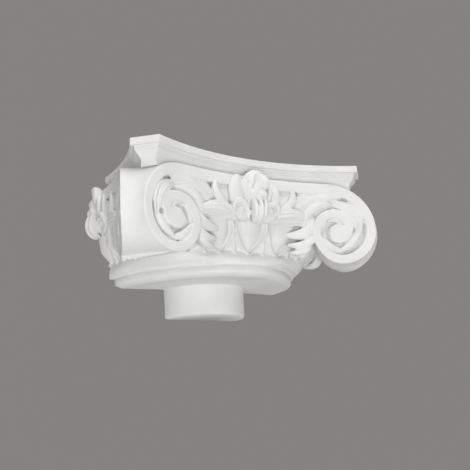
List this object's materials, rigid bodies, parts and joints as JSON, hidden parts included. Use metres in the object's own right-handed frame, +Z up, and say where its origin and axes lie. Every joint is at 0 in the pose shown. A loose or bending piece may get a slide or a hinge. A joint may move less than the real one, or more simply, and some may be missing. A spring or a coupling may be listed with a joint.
{
  "type": "half column capital",
  "caption": "Half round column capital with corner volutes, egg and dart and flowers, flat at the back to stand against a wall on a half column.",
  "frame": {"origin": "on the column's axis, in the flat wall face, at the level of the neck's underside", "axes": "+X to the right seen from the front, +Y into the wall, +Z up the column"},
  "size_m": [0.3876, 0.1777, 0.1897],
  "materials": {
    "primed_foam": "matte white primer on moulded rigid polyurethane foam"
  },
  "bodies": {
    "root": {"capital": "primed_foam"}
  },
  "joints": []
}
